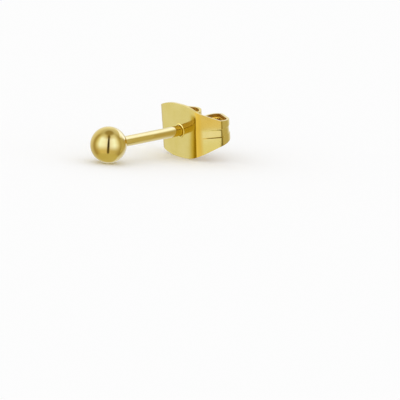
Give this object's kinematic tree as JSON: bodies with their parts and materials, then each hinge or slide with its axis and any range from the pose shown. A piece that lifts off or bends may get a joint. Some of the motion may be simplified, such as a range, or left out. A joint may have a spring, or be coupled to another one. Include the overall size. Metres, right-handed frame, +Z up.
{
  "type": "stud earring",
  "caption": "Small polished gold ball stud: a round ball soldered to a plain straight post, with a bent-sheet butterfly clutch that slides along the post and holds by friction.",
  "frame": {"origin": "on the table under the middle of the object as it lies, on the ball and on the lower edge of the clutch's plate", "axes": "+Z up from the table, +Y along the lying stud from the ball to the clutch, the post rising to the clutch by under 6 degrees, +X across it"},
  "size_m": [0.0074, 0.0134, 0.0045],
  "materials": {
    "polished_gold": "mirror-polished gold plating over steel, with faint polishing lines",
    "pressed_gold": "bright gold plating over pressed steel sheet, slightly softer than the ball, paler on worn edges"
  },
  "bodies": {
    "stud": {"ball_post": "polished_gold"},
    "clutch": {"butterfly_clutch": "pressed_gold"}
  },
  "joints": [
    {"name": "clutch_slide", "type": "slide", "parent": "stud", "child": "clutch", "axis": [0, 0.995, 0.0997], "range_m": [-0.00578, 0.00512]}
  ]
}
